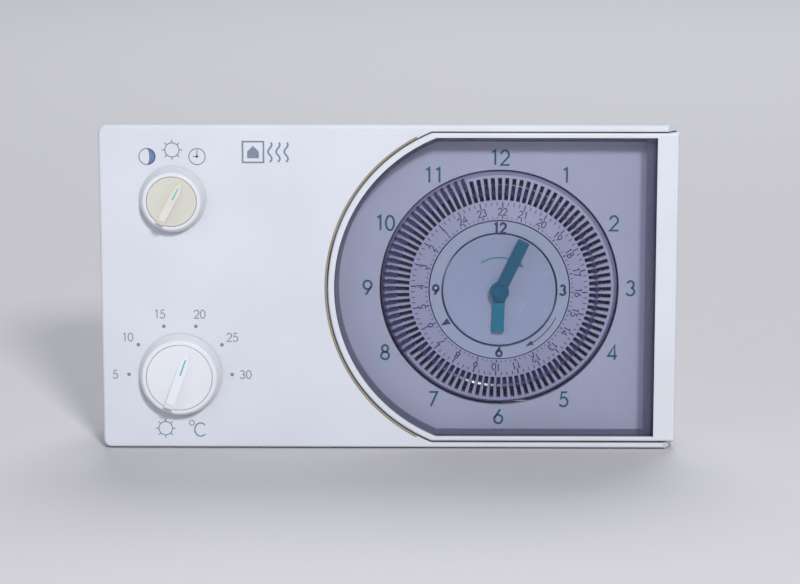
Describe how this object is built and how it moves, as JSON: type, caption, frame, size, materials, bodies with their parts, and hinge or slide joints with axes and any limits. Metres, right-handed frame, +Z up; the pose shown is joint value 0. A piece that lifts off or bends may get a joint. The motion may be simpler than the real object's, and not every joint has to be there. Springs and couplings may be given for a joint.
{
  "type": "programmable room heating timer",
  "caption": "Wall-mounted room temperature controller with an analogue 24-hour programme dial behind a smoked hinged door, a mode knob and a temperature knob.",
  "frame": {"origin": "midpoint between the two wall-screw slots, on the wall plane", "axes": "+X to the right seen from the front, +Z up, the front faces -Y and the wall is at Y = 0"},
  "size_m": [0.172, 0.0443, 0.0978],
  "materials": {
    "case_plastic": "fine matt white ABS",
    "door_plastic": "satin white ABS",
    "wall_plate_plastic": "matt white ABS",
    "smoked_clear": "smoked transparent plastic",
    "clock_plate_plastic": "grey-lilac moulded plastic",
    "dial_plastic": "grey-lilac moulded plastic, printed",
    "dark_plastic": "black moulded plastic",
    "tappet_plastic": "navy blue moulded plastic",
    "ring_plastic": "grey-lilac moulded plastic, printed",
    "disc_plastic": "translucent grey moulded plastic",
    "minute_hand_paint": "teal satin lacquer",
    "hour_hand_paint": "teal satin lacquer",
    "knob_white": "satin white ABS",
    "cap_cream": "aged cream plastic",
    "teal_inlay": "teal filled line",
    "steel": "bright steel",
    "brass": "turned brass",
    "gear_plastic": "natural acetal",
    "board": "green solder resist",
    "terminal_plastic": "dark grey polyamide",
    "component_black": "black epoxy",
    "relay_plastic": "blue plastic cover",
    "can_metal": "bare metal can"
  },
  "bodies": {
    "housing": {"wall_plate": "wall_plate_plastic", "case_screw": "steel", "terminal_block": "terminal_plastic", "terminal_screws": "steel", "terminal_clamps": "brass", "contact_pins": "brass", "front_housing": "case_plastic", "clock_plate": "clock_plate_plastic", "mode_switch": "component_black", "setpoint_potentiometer": "can_metal", "main_pcb": "board", "pcb_screws": "steel", "smoothing_capacitor": "component_black", "room_sensor": "component_black", "output_relay": "relay_plastic", "link_header": "component_black", "movement_base": "dark_plastic", "movement_bridge": "dark_plastic", "movement_cover": "dark_plastic", "movement_screws": "steel", "gear_motor": "can_metal", "clock_pcb": "board", "quartz_crystal": "can_metal", "backup_cell": "can_metal", "driver_chip": "component_black", "microswitch": "component_black", "centre_ring": "ring_plastic"},
    "door": {"door_frame": "door_plastic", "door_window": "smoked_clear", "hinge_pins": "steel"},
    "mode_knob": {"mode_knob_skirt": "knob_white", "mode_knob_cap": "cap_cream", "mode_pointer_line": "teal_inlay", "mode_shaft": "steel"},
    "setpoint_knob": {"setpoint_knob_skirt": "knob_white", "setpoint_knob_cap": "knob_white", "setpoint_pointer_line": "teal_inlay", "setpoint_shaft": "steel"},
    "dial": {"dial_face": "dial_plastic", "dial_carrier": "dark_plastic", "tappet_pivot_wire": "steel", "tappets_night": "tappet_plastic", "tappets_day": "tappet_plastic"},
    "night_first": {"tappet_night_first": "tappet_plastic"},
    "night_last": {"tappet_night_last": "tappet_plastic"},
    "day_first": {"tappet_day_first": "tappet_plastic"},
    "day_last": {"tappet_day_last": "tappet_plastic"},
    "setting_disc": {"setting_disc": "disc_plastic", "disc_pipe_pinion": "gear_plastic"},
    "hour_arbor": {"hour_hand": "hour_hand_paint", "hour_pipe_wheel": "gear_plastic"},
    "minute_arbor": {"minute_hand": "minute_hand_paint", "minute_arbor": "brass"},
    "minute_wheel": {"minute_wheel": "gear_plastic"},
    "dial_idler": {"dial_idler": "gear_plastic"},
    "motor_pinion": {"motor_pinion": "brass"},
    "plunger": {"switch_plunger": "dark_plastic"},
    "lever": {"switch_lever": "steel"}
  },
  "joints": [
    {"name": "door_hinge", "type": "hinge", "parent": "housing", "child": "door", "pos_m": [0.0832, -0.0329, 0], "axis": [0, 0, 1], "range_deg": [0, 110]},
    {"name": "mode_turn", "type": "hinge", "parent": "housing", "child": "mode_knob", "pos_m": [-0.0641, -0.03, 0.0268], "axis": [0, 1, 0], "range_deg": [-56, 0]},
    {"name": "setpoint_turn", "type": "hinge", "parent": "housing", "child": "setpoint_knob", "pos_m": [-0.0625, -0.03, -0.0264], "axis": [0, 1, 0], "range_deg": [-120, 80]},
    {"name": "dial_spin", "type": "hinge", "parent": "housing", "child": "dial", "pos_m": [0.0332, -0.025, -0.0017], "axis": [0, 1, 0], "continuous": true},
    {"name": "disc_spin", "type": "hinge", "parent": "housing", "child": "setting_disc", "pos_m": [0.0332, -0.025, -0.0017], "axis": [0, 1, 0], "continuous": true},
    {"name": "hour_spin", "type": "hinge", "parent": "housing", "child": "hour_arbor", "pos_m": [0.0332, -0.025, -0.0017], "axis": [0, 1, 0], "continuous": true},
    {"name": "minute_spin", "type": "hinge", "parent": "housing", "child": "minute_arbor", "pos_m": [0.0332, -0.025, -0.0017], "axis": [0, 1, 0], "continuous": true},
    {"name": "minute_wheel_spin", "type": "hinge", "parent": "housing", "child": "minute_wheel", "pos_m": [0.02192, -0.025, -0.0058], "axis": [0, 1, 0], "continuous": true},
    {"name": "idler_spin", "type": "hinge", "parent": "housing", "child": "dial_idler", "pos_m": [0.05124, -0.025, -0.00827], "axis": [0, 1, 0], "continuous": true},
    {"name": "motor_spin", "type": "hinge", "parent": "housing", "child": "motor_pinion", "pos_m": [0.0332, -0.025, 0.0103], "axis": [0, 1, 0], "continuous": true},
    {"name": "flip_night_first", "type": "hinge", "parent": "dial", "child": "night_first", "pos_m": [0.0233, -0.0233, 0.02768], "axis": [0.9476, 0, 0.3194], "range_deg": [0, 60]},
    {"name": "flip_night_last", "type": "hinge", "parent": "dial", "child": "night_last", "pos_m": [0.00739, -0.0233, -0.01887], "axis": [-0.5538, 0, 0.8327], "range_deg": [0, 60]},
    {"name": "flip_day_first", "type": "hinge", "parent": "dial", "child": "day_first", "pos_m": [0.00856, -0.0233, -0.02052], "axis": [-0.607, 0, 0.7947], "range_deg": [-60, 0]},
    {"name": "flip_day_last", "type": "hinge", "parent": "dial", "child": "day_last", "pos_m": [0.02524, -0.0233, 0.02826], "axis": [0.9665, 0, 0.2567], "range_deg": [-60, 0]},
    {"name": "plunger_travel", "type": "slide", "parent": "housing", "child": "plunger", "axis": [0, 1, 0], "range_m": [0, 0.0006], "stiffness_N_per_m": 40, "springref_m": -0.002},
    {"name": "lever_swing", "type": "hinge", "parent": "housing", "child": "lever", "pos_m": [0.0328, -0.02325, -0.0402], "axis": [0, 0, 1], "range_deg": [-1.5, 1.5]}
  ],
  "couplings": [
    {"joint": "disc_spin", "follows": "dial_spin", "ratio": 24},
    {"joint": "hour_spin", "follows": "dial_spin", "ratio": 2},
    {"joint": "minute_spin", "follows": "dial_spin", "ratio": 24},
    {"joint": "minute_wheel_spin", "follows": "dial_spin", "ratio": -8},
    {"joint": "idler_spin", "follows": "dial_spin", "ratio": -2},
    {"joint": "motor_spin", "follows": "dial_spin", "ratio": -72}
  ]
}
